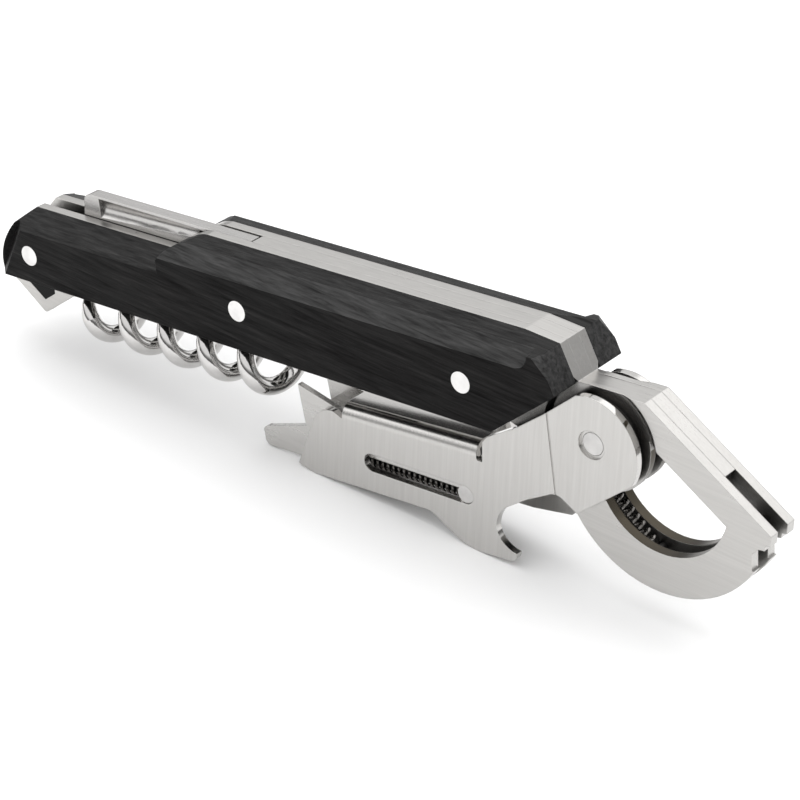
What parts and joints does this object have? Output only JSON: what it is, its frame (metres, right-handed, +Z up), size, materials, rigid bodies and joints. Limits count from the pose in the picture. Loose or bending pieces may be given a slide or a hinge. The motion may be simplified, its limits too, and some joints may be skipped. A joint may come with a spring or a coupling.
{
  "type": "waiters corkscrew",
  "caption": "Folding waiter's corkscrew with dark scales, steel liners ending in a ring, a swinging worm, a folding foil blade and a hooked lever with a sliding claw.",
  "frame": {"origin": "bottom centre of the bounding box, on the surface that the lever stands on", "axes": "+X from the tail towards the ring, +Y across the thickness away from the front scale, +Z up"},
  "size_m": [0.1522, 0.0166, 0.0402],
  "materials": {
    "ebony": "satin, fine dark grain",
    "brushed": "fine lengthwise brushing",
    "polished": "polished stainless steel",
    "blackened": "dark oxide",
    "pin_steel": "turned and faced",
    "spring_steel": "drawn wire"
  },
  "bodies": {
    "handle": {"blade_spring": "brushed", "front_liner": "brushed", "front_scale": "ebony", "front_washer": "blackened", "guard_pad": "blackened", "head_pin": "pin_steel", "lever_pivot_pin": "pin_steel", "lever_spring": "spring_steel", "lever_spring_pin": "pin_steel", "middle_pin": "pin_steel", "pivot_bush": "blackened", "rear_liner": "brushed", "rear_scale": "ebony", "rear_washer": "blackened", "spine_spacer": "brushed", "tail_pin": "pin_steel", "worm_pivot_pin": "pin_steel"},
    "blade": {"blade": "brushed"},
    "worm": {"worm": "polished"},
    "lever": {"lever_channel": "polished", "claw_spring": "spring_steel", "claw_spring_pin": "pin_steel", "claw_spring_rod": "pin_steel"},
    "claw": {"claw_slider": "brushed", "claw_pin": "pin_steel"}
  },
  "joints": [
    {"name": "lever_hinge", "type": "hinge", "parent": "handle", "child": "lever", "pos_m": [0.04631, 0, 0.0272], "axis": [0, -1, 0], "range_deg": [0, 85]},
    {"name": "worm_hinge", "type": "hinge", "parent": "handle", "child": "worm", "pos_m": [-0.00884, 0, 0.02452], "axis": [0, -1, 0], "range_deg": [0, 90.5]},
    {"name": "claw_slide", "type": "slide", "parent": "lever", "child": "claw", "axis": [-0.9937, 0, -0.1118], "range_m": [0, 0.0182]},
    {"name": "blade_hinge", "type": "hinge", "parent": "handle", "child": "blade", "pos_m": [-0.06573, 0, 0.01853], "axis": [0, -1, 0], "range_deg": [0, 180]}
  ],
  "couplings": [
    {"joint": "worm_hinge", "follows": "lever_hinge", "ratio": 1.06},
    {"joint": "claw_slide", "follows": "lever_hinge", "m_per_rad": 0.0122}
  ]
}
